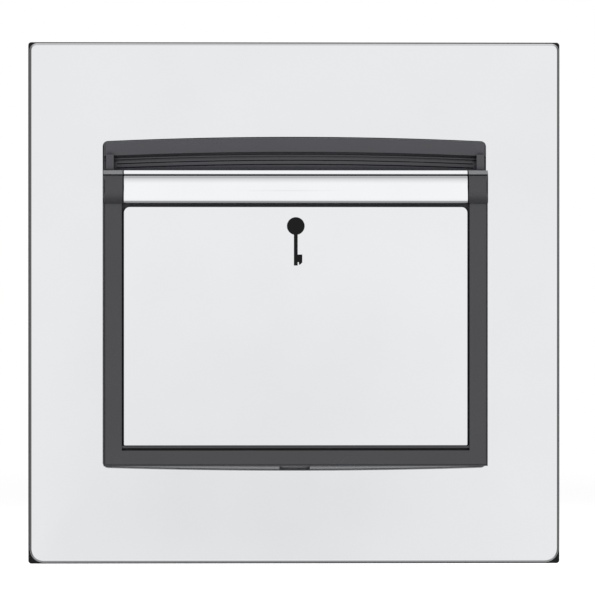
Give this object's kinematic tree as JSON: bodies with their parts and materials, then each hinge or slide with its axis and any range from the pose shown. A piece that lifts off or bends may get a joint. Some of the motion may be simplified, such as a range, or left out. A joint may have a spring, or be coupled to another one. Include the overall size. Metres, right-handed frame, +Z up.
{
  "type": "key card switch",
  "caption": "Wall-mounted hotel key card switch: chromed front plate with a raised black pocket and chromed fascia; a card in the slot swings a sprung lever that works a snap switch.",
  "frame": {"origin": "on the wall face, midway between the two fixing screws", "axes": "+X to the right as seen from the room, +Y into the wall, +Z up"},
  "size_m": [0.088, 0.0412, 0.0864],
  "materials": {
    "chromed_plate": "polished chromium plating on steel",
    "chromed_fascia": "polished chromium plating on steel",
    "chromed_trim": "polished chromium plating",
    "black_cover": "satin black moulding",
    "black_guide": "satin black moulding",
    "gasket_rubber": "matt black foam rubber",
    "smoked_lens": "smoked polycarbonate",
    "clear_lens": "clear polycarbonate",
    "nylon": "natural nylon",
    "zinc_steel": "zinc-plated sheet",
    "zinc_screw": "zinc-plated",
    "acetal": "natural acetal",
    "steel_pin": "ground steel",
    "spring_wire": "drawn spring wire",
    "housing_plastic": "black moulding with a fine texture",
    "board_laminate": "green solder mask",
    "relay_case": "blue moulded case",
    "capacitor_case": "yellow moulded case",
    "capacitor_can": "dark sleeve on an aluminium can",
    "varistor_coating": "blue epoxy dip",
    "fuse_case": "black moulded case",
    "resistor_coating": "pale blue lacquer",
    "chip_case": "black epoxy",
    "lamp_lens": "blue diffused epoxy",
    "switch_plastic": "black phenolic",
    "switch_lid_plastic": "black phenolic",
    "plunger_plastic": "red acetal",
    "copper_alloy": "beryllium copper strip",
    "terminal_brass": "plain brass",
    "terminal_plastic": "pale grey moulding",
    "terminal_screw_steel": "zinc-plated"
  },
  "bodies": {
    "chassis": {"support_frame": "zinc_steel", "wall_gasket": "gasket_rubber", "fixing_screws": "zinc_screw", "card_guide": "black_guide", "light_pipe": "clear_lens", "lever_pin": "steel_pin", "lever_spring": "spring_wire", "rear_housing": "housing_plastic", "housing_screws": "zinc_screw", "circuit_board": "board_laminate", "board_screws": "zinc_screw", "relay": "relay_case", "mains_capacitor": "capacitor_case", "smoothing_capacitor": "capacitor_can", "varistor": "varistor_coating", "fuse": "fuse_case", "resistors": "resistor_coating", "timer_chip": "chip_case", "led": "lamp_lens", "switch_case": "switch_plastic", "switch_lid": "switch_lid_plastic", "switch_common_terminal": "terminal_brass", "switch_rear_terminal": "terminal_brass", "switch_front_terminal": "terminal_brass", "terminal_block": "terminal_plastic", "terminal_cage_1": "terminal_brass", "terminal_cage_2": "terminal_brass", "terminal_cage_3": "terminal_brass", "terminal_screws": "terminal_screw_steel", "earth_terminal": "terminal_brass", "earth_screw": "terminal_screw_steel"},
    "plate": {"front_plate": "chromed_plate", "plate_clips": "nylon"},
    "cover": {"pocket_cover": "black_cover", "fascia_plate": "chromed_fascia", "lip_trim": "chromed_trim", "key_lens": "smoked_lens"},
    "lever": {"card_lever": "acetal"},
    "plunger": {"switch_plunger": "plunger_plastic"},
    "blade": {"switch_blade": "copper_alloy"}
  },
  "joints": [
    {"name": "plate_pull", "type": "slide", "parent": "chassis", "child": "plate", "axis": [0, -1, 0], "range_m": [0, 0.025]},
    {"name": "cover_pull", "type": "slide", "parent": "chassis", "child": "cover", "axis": [0, -1, 0], "range_m": [0, 0.02]},
    {"name": "lever_swing", "type": "hinge", "parent": "chassis", "child": "lever", "pos_m": [0, -0.0058, -0.0036], "axis": [1, 0, 0], "range_deg": [0, 15], "stiffness_Nm_per_rad": 0.005, "springref_deg": -22.92, "deforming": ["lever_spring"]},
    {"name": "plunger_slide", "type": "slide", "parent": "chassis", "child": "plunger", "axis": [0, 1, 0], "range_m": [0, 0.00064]},
    {"name": "blade_swing", "type": "hinge", "parent": "chassis", "child": "blade", "pos_m": [-0.00539, -0.0006, -0.006], "axis": [0, 0, 1], "range_deg": [0, 4.45]}
  ],
  "couplings": [
    {"joint": "plunger_slide", "follows": "lever_swing", "m_per_rad": 0.0024},
    {"joint": "blade_swing", "follows": "lever_swing", "ratio": 0.29286}
  ]
}
